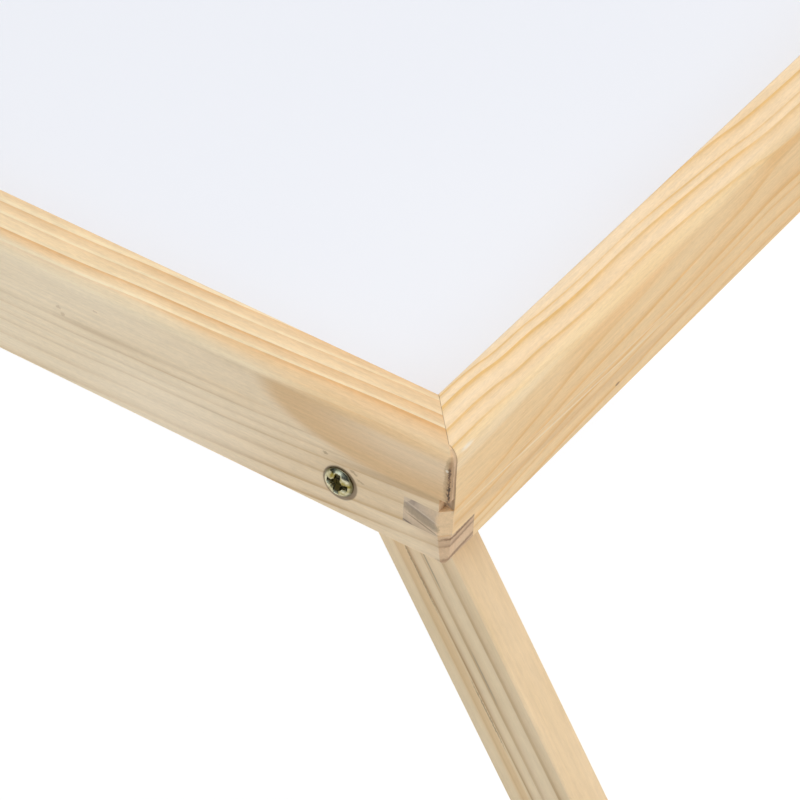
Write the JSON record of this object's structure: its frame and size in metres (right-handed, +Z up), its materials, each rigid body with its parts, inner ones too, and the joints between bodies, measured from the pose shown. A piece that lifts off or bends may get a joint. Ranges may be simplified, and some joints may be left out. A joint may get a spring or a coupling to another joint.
{
  "type": "bed tray table",
  "caption": "Folding bed tray: a rectangular pine frame round a smooth white panel, on splayed pine leg frames that swing on screws and fold flat under the panel.",
  "frame": {"origin": "on the floor, below the middle of the tray, with the legs open", "axes": "+X along the side rails towards the right end, +Y along the end rails towards the back, +Z up"},
  "size_m": [0.6998, 0.303, 0.206],
  "materials": {
    "pine_rail": "planed clear pine, unvarnished satin",
    "pine_leg": "planed clear pine, unvarnished satin",
    "white_panel": "smooth white melamine-faced board, low gloss",
    "yellow_zinc_screw": "yellow-passivated zinc plate",
    "zinc_washer": "bright zinc plate"
  },
  "bodies": {
    "tray_frame": {"front_side_rail": "pine_rail", "back_side_rail": "pine_rail", "right_end_rail": "pine_rail", "left_end_rail": "pine_rail", "tray_panel": "white_panel"},
    "right_leg_frame": {"right_crossbar": "pine_leg", "front_right_leg": "pine_leg", "front_right_pivot_screw": "yellow_zinc_screw", "front_right_pivot_washer": "zinc_washer", "front_right_crossbar_screw": "yellow_zinc_screw", "back_right_leg": "pine_leg", "back_right_pivot_screw": "yellow_zinc_screw", "back_right_pivot_washer": "zinc_washer", "back_right_crossbar_screw": "yellow_zinc_screw"},
    "left_leg_frame": {"left_crossbar": "pine_leg", "front_left_leg": "pine_leg", "front_left_pivot_screw": "yellow_zinc_screw", "front_left_pivot_washer": "zinc_washer", "front_left_crossbar_screw": "yellow_zinc_screw", "back_left_leg": "pine_leg", "back_left_pivot_screw": "yellow_zinc_screw", "back_left_pivot_washer": "zinc_washer", "back_left_crossbar_screw": "yellow_zinc_screw"}
  },
  "joints": [
    {"name": "right_legs_fold", "type": "hinge", "parent": "tray_frame", "child": "right_leg_frame", "pos_m": [0.2226, 0, 0.18041], "axis": [0, 1, 0], "range_deg": [0, 122.84]},
    {"name": "left_legs_fold", "type": "hinge", "parent": "tray_frame", "child": "left_leg_frame", "pos_m": [-0.2226, 0, 0.18041], "axis": [0, -1, 0], "range_deg": [0, 122.84]}
  ]
}
